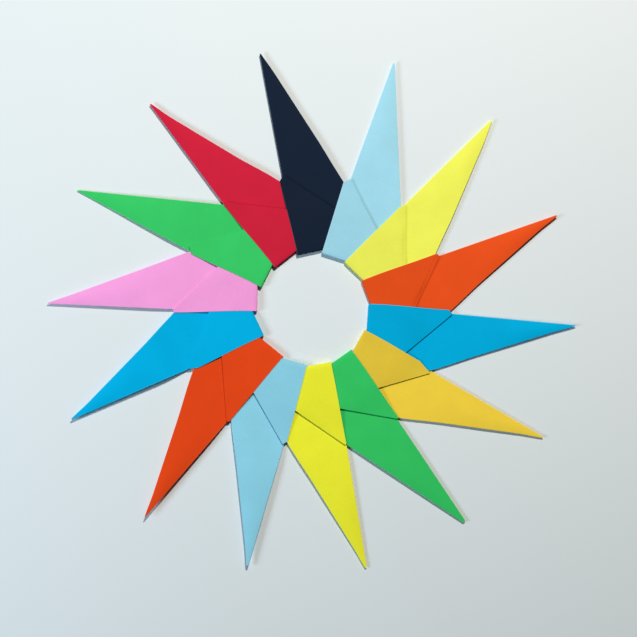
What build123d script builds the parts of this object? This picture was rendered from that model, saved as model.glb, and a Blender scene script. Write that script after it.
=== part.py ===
from build123d import *
import os
from math import cos, radians, sin, sqrt, tan

# A flat star of folded paper squares. Every unit is one square sheet: kite folded,
# folded in half along its diagonal, and its tail folded back over the front. The
# tail makes a pocket, and each unit's right side is tucked into the pocket of the
# next unit clockwise. The ring's axis is Z, and the folded points look outwards.

# driving dimensions, in millimetres
sheet = 76.2  # side of each paper square
paper = 0.08  # thickness of the paper
gap = 0.015  # air between folded layers
spine = 77.2  # from a unit's tip to its tail fold, along the spine
hole_apothem = 20.9  # from the star's centre to a unit's tail fold
tip_trim = 0.6  # the folded tip is blunt: this much is lost to the folds
lean = 1.5  # degrees between a spine and the square to its tail fold

# how the flat units fan over each other, as slopes
body_slope = 0.047  # a body rises to the right, over the next unit's body
tail_slope = 0.022  # a tail falls to the right, under the next unit's tail
cone_slope = 0.012  # the points rise outwards
tail_clearance = 0.03  # between tail and body where they meet

# colour, turn from the unit before it (degrees), distance of the tail fold's left
# end from the line through the star's centre (mm), slip of the spine fold off the
# sheet's corner (mm): hand folding leaves none of these quite even
units = [
    ("navy", 26.1, 1.3, 1.7),
    ("light_blue", 30.5, 3.3, 2.2),
    ("yellow", 25.4, 3.4, 1.8),
    ("orange", 25.3, 3.3, 1.5),
    ("blue", 24.5, 3.2, 1.5),
    ("gold", 25.1, 2.4, 3.2),
    ("green", 25.8, 2.9, 0.3),
    ("yellow", 24.4, 2.8, 0.4),
    ("light_blue", 25.8, 3.2, 1.8),
    ("orange", 24.3, 2.6, 0.3),
    ("blue", 25.9, 1.2, 1.6),
    ("pink", 26.0, 1.1, 0.6),
    ("green", 25.6, 1.3, 0.4),
    ("red", 25.3, 1.5, 0.3),
]
first_spine_angle = 10.4  # the first unit's spine, anticlockwise from +Y

# the kite fold: its sides lie 22.5 degrees from the spine
kite_tan = tan(radians(22.5))
kite_corner = (kite_tan * sheet, spine - sheet)
tail_width = sqrt(2) * sheet - spine  # the tail's width and length at its fold
lean_tan = tan(radians(lean))

# levels of the layers above a unit's own underside
step = paper + gap
body_height = 4 * paper + 3 * gap
tail_height = 2 * paper + gap
tail_level = body_height + tail_clearance + tail_width * (body_slope + tail_slope)
tail_right = tail_width - tail_height - tail_clearance


def outline(plane, points):
    """A closed flat outline on a plane."""
    with BuildSketch(plane) as drawn:
        with BuildLine():
            Polyline(points, close=True)
        make_face()
    return drawn.sketch


def half_round(plane, outer, inner):
    """The section of a fold: a half ring on the plane's left side."""
    with BuildSketch(plane) as drawn:
        with BuildLine():
            CenterArc((0, 0), outer, 90, 180)
            Line((0, -outer), (0, -inner))
            CenterArc((0, 0), inner, 90, 180)
            Line((0, inner), (0, outer))
        make_face()
    return drawn.sketch


def unit_frame(angle, offset):
    """A unit's own frame: X along its tail fold, Y outwards, origin at their left."""
    turn = radians(angle)
    across = Vector(cos(turn), sin(turn), 0)
    outwards = Vector(-sin(turn), cos(turn), 0)
    corner = outwards * hole_apothem - across * offset
    return Plane(origin=corner, x_dir=across, z_dir=(0, 0, 1))


def sloped(frame, level, slope, turn):
    """A plane through the frame's corner, turned in plan, rising by slope to its +X."""
    flat = frame.rotated((0, 0, turn))
    origin = frame.from_local_coords(Vector(0, 0, level))
    across = flat.x_dir + flat.z_dir * slope
    normal = flat.z_dir - flat.x_dir * slope - flat.y_dir * cone_slope
    return Plane(origin=origin, x_dir=across, z_dir=normal)


def fold_plane(layer, start, along, height):
    """A plane square to a fold line of a layer, whose layers lie on its right."""
    origin = layer.from_local_coords(Vector(start[0], start[1], height))
    direction = layer.x_dir * along[0] + layer.y_dir * along[1]
    return Plane(origin=origin, x_dir=direction.cross(layer.z_dir), z_dir=direction)


def body_layers(body):
    """Outlines of the four layers of a body, bottom to top."""
    low = -tail_height  # the outer layer reaches the wall's outer face
    main = [
        (0, low),
        (tail_width, low + tail_width * lean_tan),
        kite_corner,
        (0, spine),
    ]
    flap = [(gap, kite_corner[1]), kite_corner, (gap, spine - gap / kite_tan)]
    top = [(0, -paper), (tail_width, tail_width * lean_tan - paper), *main[2:]]
    outlines = [main, flap, flap, top]
    return [outline(body.offset(index * step), outlines[index]) for index in range(4)]


def tail_layers(tail, slip):
    """Outlines of the tail's two layers; the upper keeps the sheet's square corner."""
    lower = [
        (0, -paper),
        (tail_right, -paper - tail_right * lean_tan),
        (0, tail_width - slip),
    ]
    upper = [
        (0, -tail_height),
        (tail_right, -tail_height - tail_right * lean_tan),
        (slip, tail_width - slip),
        (0, tail_width - 2 * slip),
    ]
    return [outline(tail, lower), outline(tail.offset(step), upper)]


def wall(frame, low, high, reach):
    """Outline of one layer where the sheet turns up from the body to the tail."""
    side = Plane(
        origin=frame.from_local_coords(Vector(0, -reach, 0)),
        x_dir=frame.x_dir,
        z_dir=-frame.y_dir,
    )
    points = [
        (0, low),
        (tail_width, low + body_slope * tail_width),
        (tail_right, tail_level + high - tail_slope * tail_right),
        (0, tail_level + high),
    ]
    return outline(side, points)


def fold_unit(label, angle, offset, slip):
    """One folded sheet, in its place in the ring."""
    frame = unit_frame(angle, offset)
    body = sloped(frame, 0, body_slope, -lean)
    tail = sloped(frame, tail_level, -tail_slope, lean)
    body_round = body_height / 2
    tail_round = tail_height / 2

    with BuildPart() as unit:
        for layer in body_layers(body) + tail_layers(tail, slip):
            extrude(layer, amount=paper)
        extrude(wall(frame, 0, tail_height, tail_height), amount=-paper)
        extrude(wall(frame, 3 * step, paper, paper), amount=-paper)

        # the spine fold holds the body's four layers
        start = (0, -tail_height)
        section = half_round(
            fold_plane(body, start, (0, 1), body_round), body_round, body_round - paper
        )
        extrude(section, amount=spine + tail_height)

        # the two kite folds, from the tip down the right side
        along = (kite_corner[0], kite_corner[1] - spine)
        for level in (0, 2 * step):
            section = half_round(
                fold_plane(body, (0, spine), along, level + tail_round), tail_round, gap / 2
            )
            extrude(section, amount=Vector(*along).length)

        # the spine fold climbs the wall and runs on along the tail
        middle = frame.from_local_coords(Vector(0, -tail_round, body_round))
        climb = Plane(middle, x_dir=frame.x_dir, z_dir=frame.z_dir)
        rise = tail_level + tail_round - body_round
        extrude(half_round(climb, tail_round, gap / 2), amount=rise)
        section = half_round(
            fold_plane(tail, start, (0, 1), tail_round), tail_round, gap / 2
        )
        extrude(section, amount=tail_width - 2 * slip + tail_height)

        # the blunt tip
        tip = body.from_local_coords(Vector(0, spine - tip_trim, 0))
        split(bisect_by=Plane(tip, x_dir=body.x_dir, z_dir=body.y_dir), keep=Keep.BOTTOM)

    unit.part.label = label
    return unit


os.makedirs("parts", exist_ok=True)
spine_angle = first_spine_angle
for index, (colour, turn, offset, slip) in enumerate(units):
    if index > 0:
        spine_angle = spine_angle - turn
    name = f"unit_{index + 1:02d}_{colour}"
    unit = fold_unit(name, spine_angle + lean, offset, slip)
    export_step(unit.part, f"parts/{name}.step")
    print(name, "volume", round(unit.part.volume, 1), "solids", len(unit.part.solids()))
print("turns add up to", round(sum(turn for _, turn, _, _ in units), 2))
print("paper in one sheet", round(sheet * sheet * paper, 1))
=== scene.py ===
import math
import bpy
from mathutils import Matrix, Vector


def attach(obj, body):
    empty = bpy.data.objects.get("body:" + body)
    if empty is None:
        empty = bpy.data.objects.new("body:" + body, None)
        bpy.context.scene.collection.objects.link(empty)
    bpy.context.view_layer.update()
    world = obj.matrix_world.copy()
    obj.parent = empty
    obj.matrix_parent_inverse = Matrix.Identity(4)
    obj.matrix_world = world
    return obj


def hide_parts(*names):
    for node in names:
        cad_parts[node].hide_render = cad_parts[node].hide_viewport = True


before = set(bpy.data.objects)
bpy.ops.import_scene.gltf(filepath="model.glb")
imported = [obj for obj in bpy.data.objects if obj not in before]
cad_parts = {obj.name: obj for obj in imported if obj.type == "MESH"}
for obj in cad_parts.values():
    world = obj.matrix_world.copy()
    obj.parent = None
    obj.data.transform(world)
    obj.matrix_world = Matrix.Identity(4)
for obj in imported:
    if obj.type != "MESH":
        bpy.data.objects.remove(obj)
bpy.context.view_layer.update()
print("frame loaded:", len(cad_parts), "folded units")

view = bpy.context.scene.view_settings
view.view_transform = "Standard"
view.look = "None"

mm = 0.001

# one square of paper and how it is folded, all in millimetres
sheet = {
    "side": 76.2,
    "paper": 0.08,
    "air": 0.015,  # between two layers folded flat
    "spine": 77.2,  # tip to tail fold
    "lean": 1.5,  # degrees that body and tail lean away from each other
    "blunt": 0.6,  # lost at the tip
    "tuck": 0.7,  # a body narrows by this much where it goes into the next pocket
    "overhang": 0.3,  # a tail is this much wider than its body at the tail fold
    "flapGap": 0.1,  # between the folded flaps' edges and the spine
    "flapGapMost": 0.25,  # that gap's largest share of a body's width
    "flapSwell": 0.7,  # an upper flap domes up by this share of the top layer's dome
    "outerBulge": 0.30,  # how far the two sheets round out at the tail fold
    "innerBulge": 0.18,
    "swell": 0.35,  # the top of a point domes up between its folds
    "droop": 0.08,  # the free edge of a tail hangs down a little
    "retreatMost": 0.6,  # the largest share of its width that a tail's upper layer loses
    "tailPaintedShade": 0.05,  # painted shade: a tail's colour is made this much darker than its body's, for the light that falls less on it
    "sharpFold": 50.0,  # degrees above which an edge of the mesh shows as a crease
}

# where along the spine a body's shape changes, in millimetres, and where along and
# across its tail an edge droops or draws back, as shares
stretches = {
    "tuckEnds": (4, 30),
    "shiftGrows": (2, 26),
    "swellGrows": (33, 48),
    "swellFades": (58, 76),
    "spreadGrows": (28, 42),
    "spreadFades": (68, 77),
    "droopGrows": (0.45, 0.6),
    "droopFades": (0.6, 0.84),
    "droopSide": (0.8, 1),
    "retreatGrows": (0, 0.1),
}

# how finely a sheet is divided; columns stand close together beside a fold
detail = {
    "besideFolds": (0, 0.008, 0.025),  # as shares of a layer's width, from either side
    "columnsFrom": 0.05,  # and from here on they are even
    "columns": 18,
    "tailRows": 20,
    "foldRows": 10,
    "bodyRows": 36,
    "kiteTurns": 4,
    "spineTurns": 6,
}

# how the units lie on each other once pressed flat, in millimetres; pairs of "From"
# and "To" are distances from the star's centre
ring = {
    "bodyStep": 0.385,  # a body over the next one
    "tailStep": 0.2,  # a tail under the next one
    "tailHeight": 1.93,  # at the reference angle
    "pressFrom": 34.0,  # the tails come down
    "pressTo": 48.0,
    "pressDepth": 0.84,
    "liftFrom": 34.0,  # the points stand clear of the table
    "liftTo": 60.0,
    "lift": 0.8,
    "standFrom": 50.5,  # a point is clear of the next unit here and may stand up
    "standTo": 62.0,
    "freeFrom": 54.0,  # it may bend, twist and wave
    "freeTo": 98.0,
    "waves": 0.16,
    "asideX": 0.35,  # the ring stands this far off the centre of the points
    "asideY": 1.05,
    "asideFrom": 24.0,
    "asideTo": 52.0,
}
lopsided = {"share": 0.5, "towards": 176.0}  # the ring stands higher on one side
waveScale = 45.0  # of the noise that waves the free points
twistArm = 12.5  # a unit's twist is its rise this many millimetres from its spine
spareAngle = math.radians(1)  # between a unit's reference angle and its first paper
beforeAngle = 0.2 * math.pi  # this much before a direction still counts as negative

# each sheet: the length of its tail's spine fold, how far the sheet's corner slips aside
# of that fold's end and rises beyond it (as much as it slips, unless rise says so), how
# many degrees the tail leans to the left, and the body's shift to the right; millimetres
units = {
    "unit_01_navy": {"paper": "navy", "fold": 29.0, "slip": 1.7, "lean": 0.5, "shift": 0.25},
    "unit_02_light_blue": {"paper": "skyBlue", "fold": 28.3, "slip": 2.0, "lean": 1.5, "shift": 0.65},
    "unit_03_yellow": {"paper": "yellow", "fold": 29.7, "slip": 1.4, "lean": 0.0, "shift": 0.0},
    "unit_04_orange": {"paper": "vermilion", "fold": 29.7, "slip": 1.1, "lean": 0.8, "shift": 0.0},
    "unit_05_blue": {"paper": "cyan", "fold": 29.8, "slip": 1.4, "lean": 1.5, "shift": -0.15},
    "unit_06_gold": {
        "paper": "gold", "fold": 23.3, "slip": 1.8, "rise": 5.2, "lean": 1.5, "shift": -0.3,
    },
    "unit_07_green": {"paper": "leaf", "fold": 29.5, "slip": 0.4, "lean": 1.2, "shift": -0.6},
    "unit_08_yellow": {"paper": "lemon", "fold": 29.5, "slip": 0.4, "lean": 0.9, "shift": -1.15},
    "unit_09_light_blue": {"paper": "paleBlue", "fold": 28.0, "slip": 1.3, "lean": 0.6, "shift": -0.1},
    "unit_10_orange": {"paper": "orange", "fold": 29.9, "slip": 0.7, "lean": -1.2, "shift": 0.45},
    "unit_11_blue": {
        "paper": "azure", "fold": 26.2, "slip": 1.3, "rise": 3.4, "lean": -0.2, "shift": 0.5,
    },
    "unit_12_pink": {"paper": "pink", "fold": 30.0, "slip": 0.6, "lean": 0.1, "shift": 0.4},
    "unit_13_green": {"paper": "mint", "fold": 28.6, "slip": 2.1, "lean": -0.9, "shift": 0.4},
    "unit_14_red": {"paper": "red", "fold": 30.3, "slip": 0.9, "lean": -0.5, "shift": -0.35},
}

# how each of them lies: a tail's edge droops, its lower layer shows beyond the upper
# one, the free point stands up, bends up and twists, it is folded wider or narrower, its
# tip is more or less blunt (all in millimetres), and how much painted shade darkens its tail
poise = {
    "unit_01_navy": {"twist": -0.3, "spread": 0.35},
    "unit_02_light_blue": {"droop": 0.15, "twist": 0.3, "blunt": 1.0},
    "unit_03_yellow": {
        "droop": 0.25, "under": 1.2, "bend": 0.1, "twist": 0.2, "spread": 0.45, "blunt": 0.9,
    },
    "unit_04_orange": {"droop": 0.3, "under": 1.7, "bend": 0.6, "twist": 0.5, "spread": -0.5},
    "unit_05_blue": {"bend": 0.5, "twist": 0.4, "spread": -0.3, "blunt": 0.2},
    "unit_06_gold": {"bend": 0.2, "twist": 0.7, "spread": -0.4, "tailPaintedShade": 0.14},
    "unit_07_green": {"twist": 0.2, "blunt": 1.9, "tailPaintedShade": 0.0},
    "unit_08_yellow": {"bend": -0.2, "twist": 0.3, "spread": -0.3, "blunt": 1.1},
    "unit_09_light_blue": {"stand": 0.4, "bend": 0.4, "spread": -0.3, "blunt": 1.1},
    "unit_10_orange": {"stand": 0.6, "bend": 0.5, "spread": -0.35, "blunt": 0.2, "tailPaintedShade": 0.0},
    "unit_11_blue": {"stand": 0.9, "bend": -0.7, "twist": -0.2, "spread": -0.4, "tailPaintedShade": 0.0},
    "unit_12_pink": {"bend": -0.3, "twist": -0.3, "spread": -0.2, "blunt": 0.2},
    "unit_13_green": {"bend": -1.0, "blunt": 0.25, "tailPaintedShade": 0.0},
    "unit_14_red": {"bend": -0.2, "spread": -0.6},
}

kiteAngle = math.radians(22.5)
kiteTan = math.tan(kiteAngle)
lean = math.radians(sheet["lean"])
layerStep = sheet["paper"] + sheet["air"]
tailThick = 2 * sheet["paper"] + sheet["air"]
tailWidth = math.sqrt(2) * sheet["side"] - sheet["spine"]
turnStep = 2 * math.pi / len(units)
near = 0.001  # values closer than this count as the same


def leant(x, y, turn):
    return Vector((x * math.cos(turn) - y * math.sin(turn), x * math.sin(turn) + y * math.cos(turn)))


# a unit's own frame from its CAD node: the flat wall at the hole gives the tail fold
def unitFrame(node):
    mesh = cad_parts[node].data
    walls = [p for p in mesh.polygons if abs(p.normal.z) < near and p.normal.dot(p.center) < 0]
    widest = max(walls, key=lambda p: p.area)
    outwards = -Vector((widest.normal.x, widest.normal.y)).normalized()
    across = Vector((outwards.y, -outwards.x))
    reach = outwards.dot(widest.center.xy)
    points = []
    for wall in walls:
        for index in wall.vertices:
            place = mesh.vertices[index].co.xy
            if abs(outwards.dot(place) - reach) < near * mm:
                points.append(across.dot(place))
    left = min(points)
    return outwards * (reach + tailThick * mm) + across * left, across, outwards


columnsWidth = 1 - 2 * detail["columnsFrom"]
middleShares = [
    detail["columnsFrom"] + columnsWidth * k / detail["columns"] for k in range(detail["columns"] + 1)
]
lastShares = [1 - share for share in reversed(detail["besideFolds"])]
shares = [*detail["besideFolds"], *middleShares, *lastShares]


def smoothStep(value, low, high):
    share = min(max((value - low) / (high - low), 0), 1)
    return share * share * (3 - 2 * share)


# every layer between two boundary points, as (x, y, height, share of tail, fold wear);
# two drooping layers hang by how far out they reach, so the narrower does not cross
def layer(left, right, height, tailShare, swell=0.0, droop=0.0, reach=1.0, cut=False):
    points = []
    for share in shares:
        place = left.lerp(right, share)
        hang = droop * smoothStep(share * reach, *stretches["droopSide"])
        dome = swell * math.sin(math.pi * share) - hang
        wear = 1.0 if share < near or (share > 1 - near and not cut) else 0.0
        points.append((place.x, place.y, height + dome, tailShare, wear))
    return points


# points round a fold between two stacked ones, bulging sideways
def fold(start, end, sideways, turns):
    points = []
    middle = [(a + b) / 2 for a, b in zip(start, end)]
    arm = [(a - b) / 2 for a, b in zip(start, end)]
    radius = math.hypot(*arm[:3])
    for k in range(1, turns):
        turn = math.pi * k / turns
        x, y, height, tailShare = [m + a * math.cos(turn) for m, a in zip(middle[:4], arm[:4])]
        x += sideways.x * radius * math.sin(turn)
        y += sideways.y * radius * math.sin(turn)
        points.append((x, y, height, tailShare, 1.0))
    return points


def foldedSheet(unit, held):
    rows = []
    kiteTurns, spineTurns = detail["kiteTurns"], detail["spineTurns"]
    half = sheet["paper"] / 2
    bodyLow, bodyTop = half, half + 3 * layerStep
    tailLow, tailTop = half, half + layerStep
    left = Vector((-1, 0))

    def addRow(low, top, spineWay, lowFlap=None, topFlap=None):
        row = list(reversed(low)) + fold(low[0], top[0], spineWay, spineTurns) + top
        if lowFlap is None:
            blank = [None] * (len(shares) + kiteTurns - 1)
            rows.append(blank + row + blank)
            return
        kiteWay = leant(1, 0, kiteAngle - lean)
        lowTurn = fold(lowFlap[-1], low[-1], kiteWay, kiteTurns)
        topTurn = fold(top[-1], topFlap[-1], kiteWay, kiteTurns)
        rows.append(lowFlap + lowTurn + row + topTurn + list(reversed(topFlap)))

    # the tail, from its corner back to the fold
    steps = detail["tailRows"]
    slip, tailLean = unit["slip"], math.radians(unit["lean"])
    tailRight = tailWidth + sheet["overhang"]
    corner = leant(slip, unit["fold"] + unit.get("rise", slip), tailLean)
    foldEnd = leant(0, unit["fold"], tailLean)
    lowerCorner = foldEnd + Vector((sheet["overhang"], 0))
    tailLeft = leant(-1, 0, tailLean)
    tailFoldEnd = Vector((tailRight, 0))
    for k in range(steps, -1, -1):
        share = k / steps
        start = foldEnd * share
        growing = smoothStep(share, *stretches["droopGrows"])
        fading = smoothStep(share, *stretches["droopFades"])
        bow = held.get("droop", sheet["droop"]) * (growing * (1 - fading))
        upperEnd = tailFoldEnd.lerp(corner, share)
        lowerEnd = tailFoldEnd.lerp(lowerCorner, share)
        if "under" in held:
            lowerEnd = upperEnd.copy()
            retreat = held["under"] * smoothStep(share, *stretches["retreatGrows"])
            upperEnd.x -= min(retreat, sheet["retreatMost"] * (upperEnd.x - start.x))
        widths = [max((end - start).x, sheet["air"]) for end in (upperEnd, lowerEnd)]
        upper, lower = (
            layer(start, end, height, 1, droop=bow, reach=width / max(widths), cut=True)
            for end, height, width in zip((upperEnd, lowerEnd), (tailTop, tailLow), widths)
        )
        addRow(upper, lower, tailLeft)

    # round the tail fold, down to the body
    turns = detail["foldRows"]
    for k in range(1, turns):
        turn = math.pi * k / turns
        share = (1 + math.cos(turn)) / 2
        end = tailRight + (tailWidth - tailRight) * (1 - share)
        outerY = -sheet["outerBulge"] * math.sin(turn)
        innerY = -sheet["innerBulge"] * math.sin(turn)
        outer = layer(
            Vector((0, outerY)), Vector((end, outerY)), bodyLow + (tailTop - bodyLow) * share, share
        )
        inner = layer(
            Vector((0, innerY)), Vector((end, innerY)), bodyTop + (tailLow - bodyTop) * share, share
        )
        addRow(outer, inner, left)

    # the body, from the tail fold to the tip
    kiteFrom = sheet["spine"] - sheet["side"]
    bodyLeft = leant(-1, 0, -lean)
    start, end = Vector((0, 0)), Vector((tailWidth - sheet["tuck"], 0))
    addRow(layer(start, end, bodyLow, 0), layer(start, end, bodyTop, 0), bodyLeft)
    steps = detail["bodyRows"]
    tip = sheet["spine"] - held.get("blunt", sheet["blunt"])
    for k in range(steps + 1):
        along = kiteFrom + (tip - kiteFrom) * k / steps
        tuck = sheet["tuck"] * (1 - smoothStep(along, *stretches["tuckEnds"]))
        width = (sheet["spine"] - along) * kiteTan - tuck
        spread = held.get("spread", 0) * smoothStep(along, *stretches["spreadGrows"])
        width += spread * (1 - smoothStep(along, *stretches["spreadFades"]))
        shift = unit["shift"] * smoothStep(along, *stretches["shiftGrows"])
        start = leant(shift, along, -lean)
        end = leant(shift + width, along, -lean)
        flapGap = min(sheet["flapGap"], width * sheet["flapGapMost"])
        flapStart = leant(shift + flapGap, along, -lean)
        swell = sheet["swell"] * smoothStep(along, *stretches["swellGrows"])
        swell *= 1 - smoothStep(along, *stretches["swellFades"])
        addRow(
            layer(start, end, bodyLow, 0),
            layer(start, end, bodyTop, 0, swell),
            bodyLeft,
            layer(flapStart, end, bodyLow + layerStep, 0),
            layer(flapStart, end, bodyTop - layerStep, 0, swell * sheet["flapSwell"]),
        )
    return rows


# the rows as a mesh, in the unit's place but not yet pressed down on its neighbours
def sheetMesh(name, rows, corner, across, outwards):
    vertices, faces, tailShares, wears = [], [], [], []
    numbers = {}
    for r, row in enumerate(rows):
        for c, point in enumerate(row):
            if point is None:
                continue
            x, y, height, tailShare, wear = point
            place = corner + across * (x * mm) + outwards * (y * mm)
            numbers[r, c] = len(vertices)
            vertices.append((place.x, place.y, height * mm))
            tailShares.append(tailShare)
            wears.append(wear)
    for r in range(len(rows) - 1):
        for c in range(len(rows[0]) - 1):
            corners = [numbers.get(key) for key in ((r, c), (r, c + 1), (r + 1, c + 1), (r + 1, c))]
            if None not in corners:
                faces.append(corners)
    mesh = bpy.data.meshes.new(name)
    mesh.from_pydata(vertices, [], faces)
    for label, values in (("tailShare", tailShares), ("foldWear", wears)):
        attribute = mesh.attributes.new(label, "FLOAT", "POINT")
        attribute.data.foreach_set("value", values)
    return mesh


# small helpers for node trees
def mathNode(tree, operation, *values):
    node = tree.nodes.new("ShaderNodeMath")
    node.operation = operation
    for socket, value in zip(node.inputs, values):
        if isinstance(value, (int, float)):
            socket.default_value = value
        else:
            tree.links.new(value, socket)
    return node.outputs[0]


def stepNode(tree, value, low, high, top):
    node = tree.nodes.new("ShaderNodeMapRange")
    node.interpolation_type = "SMOOTHSTEP"
    node.inputs["To Min"].default_value = 0
    for label, source in (("Value", value), ("From Min", low), ("From Max", high), ("To Max", top)):
        if isinstance(source, (int, float)):
            node.inputs[label].default_value = source
        else:
            tree.links.new(source, node.inputs[label])
    return node.outputs["Result"]


# Geometry Nodes that press a unit down into its place in the ring. Every unit's level
# depends only on radius and angle, so the order of the layers stays everywhere.
def pressTree():
    tree = bpy.data.node_groups.new("pressIntoRing", "GeometryNodeTree")
    tree.interface.new_socket("Geometry", in_out="INPUT", socket_type="NodeSocketGeometry")
    for label in (*ring, "referenceAngle", "turnStep", "lopsided", "highSide",
                  "waveScale", "stand", "bend", "twist", "spineAngle", "seed"):
        tree.interface.new_socket(label, in_out="INPUT", socket_type="NodeSocketFloat")
    tree.interface.new_socket("paper", in_out="INPUT", socket_type="NodeSocketMaterial")
    tree.interface.new_socket("Geometry", in_out="OUTPUT", socket_type="NodeSocketGeometry")
    source = tree.nodes.new("NodeGroupInput").outputs
    place = tree.nodes.new("GeometryNodeInputPosition").outputs[0]
    parts = tree.nodes.new("ShaderNodeSeparateXYZ")
    tree.links.new(place, parts.inputs[0])
    x, y = parts.outputs[0], parts.outputs[1]
    squares = mathNode(tree, "ADD", mathNode(tree, "MULTIPLY", x, x), mathNode(tree, "MULTIPLY", y, y))
    radius = mathNode(tree, "SQRT", squares)

    # clockwise angle from a direction; a little before it counts as negative
    def clockwiseFrom(angle):
        bearing = mathNode(tree, "SUBTRACT", angle, mathNode(tree, "ARCTAN2", y, x))
        return mathNode(tree, "WRAP", bearing, 2 * math.pi - beforeAngle, -beforeAngle)

    turns = mathNode(tree, "DIVIDE", clockwiseFrom(source["referenceAngle"]), source["turnStep"])
    bodyLevel = mathNode(tree, "MULTIPLY", turns, source["bodyStep"])
    press = stepNode(tree, radius, source["pressFrom"], source["pressTo"], source["pressDepth"])
    tailFall = mathNode(tree, "ADD", mathNode(tree, "MULTIPLY", turns, source["tailStep"]), press)
    tailLevel = mathNode(tree, "SUBTRACT", source["tailHeight"], tailFall)
    share = tree.nodes.new("GeometryNodeInputNamedAttribute")
    share.inputs["Name"].default_value = "tailShare"
    climb = mathNode(tree, "MULTIPLY", mathNode(tree, "SUBTRACT", tailLevel, bodyLevel),
                     share.outputs["Attribute"])
    level = mathNode(tree, "ADD", bodyLevel, climb)

    # the table is not touched all round: the ring rises a little, unevenly
    flat = tree.nodes.new("ShaderNodeCombineXYZ")
    tree.links.new(x, flat.inputs[0])
    tree.links.new(y, flat.inputs[1])
    towards = mathNode(tree, "COSINE", clockwiseFrom(source["highSide"]))
    rise = stepNode(tree, radius, source["liftFrom"], source["liftTo"], source["lift"])
    uneven = mathNode(tree, "MULTIPLY_ADD", towards, source["lopsided"], 1)
    level = mathNode(tree, "ADD", level, mathNode(tree, "MULTIPLY", rise, uneven))

    # the free points stand up, bend, twist and wave
    standing = stepNode(tree, radius, source["standFrom"], source["standTo"], source["stand"])
    level = mathNode(tree, "ADD", level, standing)
    free = stepNode(tree, radius, source["freeFrom"], source["freeTo"], 1)
    spineSide = mathNode(tree, "SINE", clockwiseFrom(source["spineAngle"]))
    fromSpine = mathNode(tree, "MULTIPLY", spineSide, radius)
    twist = mathNode(tree, "MULTIPLY", fromSpine, source["twist"])
    shaped = mathNode(tree, "MULTIPLY", mathNode(tree, "ADD", source["bend"], twist), free)
    level = mathNode(tree, "ADD", level, shaped)
    wave = tree.nodes.new("ShaderNodeTexNoise")
    wave.noise_dimensions = "4D"
    wave.inputs["Detail"].default_value = 1
    tree.links.new(source["waveScale"], wave.inputs["Scale"])
    tree.links.new(flat.outputs[0], wave.inputs["Vector"])
    tree.links.new(source["seed"], wave.inputs["W"])
    wavy = mathNode(tree, "SUBTRACT", wave.outputs[0], 0.5)
    wavy = mathNode(tree, "MULTIPLY", mathNode(tree, "MULTIPLY", wavy, source["waves"]), free)
    level = mathNode(tree, "ADD", level, wavy)

    # the ring's middle stands a little aside
    beyond = stepNode(tree, radius, source["asideFrom"], source["asideTo"], 1)
    within = mathNode(tree, "SUBTRACT", 1, beyond)
    move = tree.nodes.new("GeometryNodeSetPosition")
    offset = tree.nodes.new("ShaderNodeCombineXYZ")
    tree.links.new(mathNode(tree, "MULTIPLY", within, source["asideX"]), offset.inputs[0])
    tree.links.new(mathNode(tree, "MULTIPLY", within, source["asideY"]), offset.inputs[1])
    tree.links.new(level, offset.inputs[2])
    tree.links.new(source["Geometry"], move.inputs["Geometry"])
    tree.links.new(offset.outputs[0], move.inputs["Offset"])
    realize = tree.nodes.new("GeometryNodeRealizeInstances")
    paint = tree.nodes.new("GeometryNodeSetMaterial")
    result = tree.nodes.new("NodeGroupOutput")
    tree.links.new(move.outputs[0], realize.inputs[0])
    tree.links.new(realize.outputs[0], paint.inputs["Geometry"])
    tree.links.new(source["paper"], paint.inputs["Material"])
    tree.links.new(paint.outputs[0], result.inputs[0])
    return tree


def setInputs(modifier, values):
    for item in modifier.node_group.interface.items_tree:
        if item.in_out == "INPUT" and item.name in values:
            modifier[item.identifier] = values[item.name]


def angleOf(vector):
    return math.atan2(vector.y, vector.x)


def linear(rgb):
    channels = []
    for value in rgb:
        share = value / 255
        channels.append(share / 12.92 if share <= 0.04045 else ((share + 0.055) / 1.055) ** 2.4)
    return (*channels, 1.0)


# papers, as display colours
paperColours = {
    "navy": (23, 35, 54),
    "skyBlue": (161, 219, 239),
    "yellow": (242, 246, 94),
    "vermilion": (236, 83, 30),
    "cyan": (0, 176, 228),
    "gold": (247, 214, 68),
    "leaf": (54, 201, 102),
    "lemon": (245, 246, 54),
    "paleBlue": (144, 215, 238),
    "orange": (231, 72, 24),
    "azure": (0, 178, 231),
    "pink": (249, 162, 226),
    "mint": (57, 202, 104),
    "red": (208, 34, 62),
}


# what every paper's surface is like; grain and cloud are pattern scales
surface = {
    "fibre": {"Grain": 1800.0, "Cloud": 110.0, "Mottle": 0.14, "Speckle": 0.12},
    "grainNoise": (3, 0.6),  # detail and roughness of each noise
    "cloudNoise": (4, 0.55),
    "cloudHeight": 2.0,
    "nextSheet": (0.31, 0.17, 0),  # each sheet's pattern starts elsewhere, in metres
    "wornTint": 0.35,  # how far a fold fades towards white, and how much of that shows
    "wornShare": 0.35,
    "gloss": 0.03,
    "roughness": 0.6,
    "roughnessChange": 0.06,
    "bump": 0.25,
    "bumpDepth": 0.02,  # millimetres
}


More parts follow.
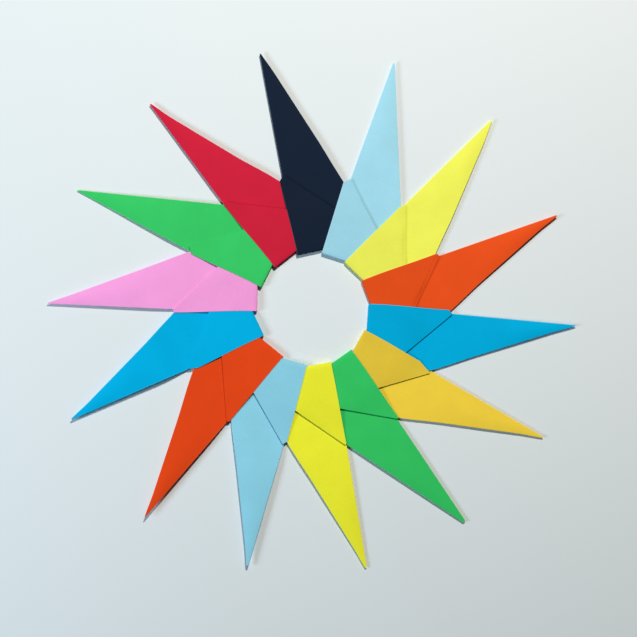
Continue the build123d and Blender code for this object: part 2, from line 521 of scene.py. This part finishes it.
# fine fibres and a cloudy dye, as a value near 1 and a height
def fibreGroup():
    tree = bpy.data.node_groups.new("paperFibre", "ShaderNodeTree")
    for label, value in surface["fibre"].items():
        socket = tree.interface.new_socket(label, in_out="INPUT", socket_type="NodeSocketFloat")
        socket.default_value = value
    tree.interface.new_socket("Vector", in_out="INPUT", socket_type="NodeSocketVector")
    tree.interface.new_socket("Tone", in_out="OUTPUT", socket_type="NodeSocketFloat")
    tree.interface.new_socket("Height", in_out="OUTPUT", socket_type="NodeSocketFloat")
    source = tree.nodes.new("NodeGroupInput").outputs
    result = tree.nodes.new("NodeGroupOutput").inputs

    def noise(scale, fineness, roughness):
        node = tree.nodes.new("ShaderNodeTexNoise")
        node.inputs["Detail"].default_value = fineness
        node.inputs["Roughness"].default_value = roughness
        tree.links.new(source["Vector"], node.inputs["Vector"])
        tree.links.new(scale, node.inputs["Scale"])
        return node.outputs[0]

    grain = noise(source["Grain"], *surface["grainNoise"])
    cloud = noise(source["Cloud"], *surface["cloudNoise"])
    cloudy = mathNode(tree, "MULTIPLY", mathNode(tree, "SUBTRACT", cloud, 0.5), source["Mottle"])
    grainy = mathNode(tree, "MULTIPLY", mathNode(tree, "SUBTRACT", grain, 0.5), source["Speckle"])
    tone = mathNode(tree, "ADD", mathNode(tree, "ADD", cloudy, grainy), 1)
    tree.links.new(tone, result["Tone"])
    cloudHeight = mathNode(tree, "MULTIPLY", cloud, surface["cloudHeight"])
    tree.links.new(mathNode(tree, "ADD", grain, cloudHeight), result["Height"])
    return tree


def paperMaterial(label, rgb, number, fibre, tailPaintedShade):
    material = bpy.data.materials.new("paper_" + label)
    material.use_nodes = True
    tree = material.node_tree
    shader = tree.nodes["Principled BSDF"]
    shader.inputs["Specular IOR Level"].default_value = surface["gloss"]
    place = tree.nodes.new("ShaderNodeTexCoord")
    mapping = tree.nodes.new("ShaderNodeMapping")
    mapping.inputs["Location"].default_value = [number * step for step in surface["nextSheet"]]
    tree.links.new(place.outputs["Object"], mapping.inputs["Vector"])
    fibres = tree.nodes.new("ShaderNodeGroup")
    fibres.node_tree = fibre
    tree.links.new(mapping.outputs[0], fibres.inputs["Vector"])

    tint = tree.nodes.new("ShaderNodeHueSaturation")
    tint.inputs["Color"].default_value = linear(rgb)
    tail = tree.nodes.new("ShaderNodeAttribute")
    tail.attribute_name = "tailShare"
    # painted shade: the tail's colour is darkened, for the light that falls less on a sloping tail
    darker = mathNode(tree, "MULTIPLY", tail.outputs["Fac"], tailPaintedShade)
    tree.links.new(mathNode(tree, "SUBTRACT", fibres.outputs["Tone"], darker), tint.inputs["Value"])
    wear = tree.nodes.new("ShaderNodeAttribute")
    wear.attribute_name = "foldWear"
    worn = tree.nodes.new("ShaderNodeMix")
    worn.data_type = "RGBA"
    faded = [value + (255 - value) * surface["wornTint"] for value in rgb]
    worn.inputs["B"].default_value = linear(faded)
    wornShare = mathNode(tree, "MULTIPLY", wear.outputs["Fac"], surface["wornShare"])
    tree.links.new(wornShare, worn.inputs["Factor"])
    tree.links.new(tint.outputs[0], worn.inputs["A"])
    tree.links.new(worn.outputs["Result"], shader.inputs["Base Color"])
    rougher = mathNode(tree, "MULTIPLY", fibres.outputs["Height"], surface["roughnessChange"])
    tree.links.new(mathNode(tree, "ADD", rougher, surface["roughness"]), shader.inputs["Roughness"])
    bump = tree.nodes.new("ShaderNodeBump")
    bump.inputs["Strength"].default_value = surface["bump"]
    bump.inputs["Distance"].default_value = surface["bumpDepth"] * mm
    tree.links.new(fibres.outputs["Height"], bump.inputs["Height"])
    tree.links.new(bump.outputs[0], shader.inputs["Normal"])
    return material


fibre = fibreGroup()
pressing = pressTree()
ringLengths = {label: value * mm for label, value in ring.items()}
frames = {node: unitFrame(node) for node in units}

# evenly spaced reference angles, turned until none of the paper lies before its own
firstAngle = 0.0
for index, (corner, _, _) in enumerate(frames.values()):
    nearest = angleOf(corner) + index * turnStep
    firstAngle = max(firstAngle, (nearest - math.pi / 2 + math.pi) % (2 * math.pi) - math.pi)
firstAngle += math.pi / 2 + spareAngle

for index, (node, unit) in enumerate(units.items()):
    corner, across, outwards = frames[node]
    held = poise.get(node, {})
    mesh = sheetMesh(node + "_flat", foldedSheet(unit, held), corner, across, outwards)
    draft = bpy.data.objects.new(node + "_draft", mesh)
    bpy.context.scene.collection.objects.link(draft)
    press = draft.modifiers.new("pressIntoRing", "NODES")
    press.node_group = pressing
    tailPaintedShade = held.get("tailPaintedShade", sheet["tailPaintedShade"])
    label = f"{unit['paper']}_{index + 1}"
    paper = paperMaterial(label, paperColours[unit["paper"]], index, fibre, tailPaintedShade)
    setInputs(press, ringLengths)
    setInputs(press, {
        "referenceAngle": firstAngle - index * turnStep,
        "spineAngle": angleOf(outwards) - lean,
        "lopsided": lopsided["share"],
        "highSide": math.radians(lopsided["towards"]),
        "turnStep": turnStep,
        "waveScale": waveScale,
        "stand": held.get("stand", 0.0) * mm,
        "bend": held.get("bend", 0.0) * mm,
        "twist": held.get("twist", 0.0) / twistArm,
        "seed": float(index),
        "paper": paper,
    })
    thicken = draft.modifiers.new("thickness", "SOLIDIFY")
    thicken.thickness = sheet["paper"] * mm
    thicken.offset = 0
    bpy.context.view_layer.update()
    depsgraph = bpy.context.evaluated_depsgraph_get()
    finished = bpy.data.meshes.new_from_object(draft.evaluated_get(depsgraph))
    bpy.data.objects.remove(draft)
    finished.name = node + "_paper"
    finished.shade_smooth()
    finished.set_sharp_from_angle(angle=math.radians(sheet["sharpFold"]))
    piece = bpy.data.objects.new(node + "_paper", finished)
    bpy.context.scene.collection.objects.link(piece)
    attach(piece, "root")
    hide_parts(node)
print("folded", len(units), "sheets")

table = {"size": 3.0, "colour": (226, 235, 238), "roughness": 0.9}
bpy.ops.mesh.primitive_plane_add(size=table["size"], location=(0, 0, 0))
floor = bpy.context.active_object
floor.name = "table_top"
floorMaterial = bpy.data.materials.new("table_paint")
floorMaterial.use_nodes = True
floorShader = floorMaterial.node_tree.nodes["Principled BSDF"]
floorShader.inputs["Base Color"].default_value = linear(table["colour"])
floorShader.inputs["Roughness"].default_value = table["roughness"]
floor.data.materials.append(floorMaterial)
print("table placed")

# lamps, with their places and sizes in metres
lamps = {
    "warm": {"from": (0.10, 0.44, 0.595), "size": 0.07, "watts": 5.0, "colour": (1.0, 0.93, 0.85)},
    "cool": {"from": (-0.54, -0.12, 0.335), "size": 0.25, "watts": 2.3, "colour": (0.68, 0.85, 1.0)},
}
for name, lamp in lamps.items():
    light = bpy.data.lights.new(name + "_lamp", "AREA")
    light.shape = "DISK"
    light.size = lamp["size"]
    light.energy = lamp["watts"]
    light.color = lamp["colour"]
    holder = bpy.data.objects.new(name + "_lamp", light)
    holder.location = lamp["from"]
    holder.rotation_euler = Vector(lamp["from"]).to_track_quat("Z", "Y").to_euler()
    bpy.context.scene.collection.objects.link(holder)

room = {"colour": (0.85, 0.93, 1.0, 1), "strength": 0.02}
world = bpy.data.worlds.new("room")
bpy.context.scene.world = world
world.use_nodes = True
background = world.node_tree.nodes["Background"]
background.inputs["Color"].default_value = room["colour"]
background.inputs["Strength"].default_value = room["strength"]
print("lit by", len(lamps), "lamps")

# the camera looks straight down; frameWidth is the width it sees at the table
cameraPlace = {"height": 1.2, "frameWidth": 0.2364, "aim": (0.0025, -0.0025), "sensor": 36}
camera = bpy.data.cameras.new("camera")
camera.sensor_width = cameraPlace["sensor"]
camera.lens = cameraPlace["sensor"] * cameraPlace["height"] / cameraPlace["frameWidth"]
cameraObject = bpy.data.objects.new("camera", camera)
cameraObject.location = (*cameraPlace["aim"], cameraPlace["height"])
bpy.context.scene.collection.objects.link(cameraObject)
bpy.context.scene.camera = cameraObject
